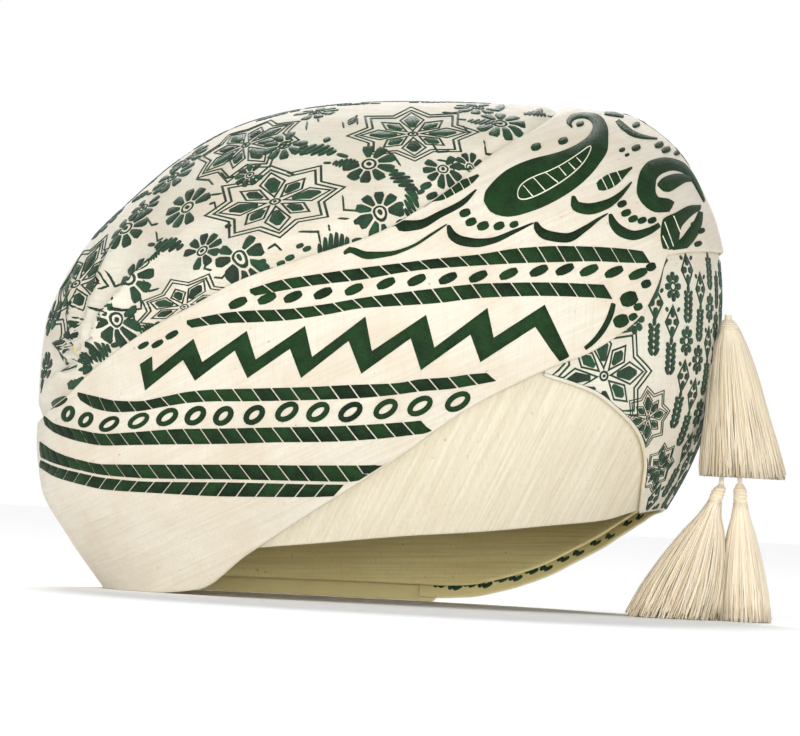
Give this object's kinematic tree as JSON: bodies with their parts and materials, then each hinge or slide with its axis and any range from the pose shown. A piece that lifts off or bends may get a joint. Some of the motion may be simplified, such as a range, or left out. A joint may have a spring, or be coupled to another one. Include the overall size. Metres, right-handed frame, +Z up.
{
  "type": "pre-tied turban",
  "caption": "Hollow pre-tied turban of printed cream cloth with a plain side panel and hanging tassels.",
  "frame": {"origin": "on the floor, under the middle of the turban with its upper tassel", "axes": "+Z up, -X towards the forehead, +X towards the nape, -Y towards the side with the plain panel"},
  "size_m": [0.2884, 0.2078, 0.193],
  "materials": {
    "cream_cloth": "slubbed cream cloth",
    "printed_cloth": "cream cloth with dark green embroidery",
    "lining_cloth": "olive beige slubbed lining",
    "tassel_thread": "soft cream thread"
  },
  "bodies": {
    "root": {"inner_cap": "lining_cloth", "side_panel": "cream_cloth", "crown_cloth": "printed_cloth", "back_wrap": "printed_cloth", "front_wrap": "printed_cloth", "tassel_upper": "tassel_thread", "tassel_lower_left": "tassel_thread", "tassel_lower_right": "tassel_thread", "cord_left": "tassel_thread", "cord_right": "tassel_thread"}
  },
  "joints": []
}
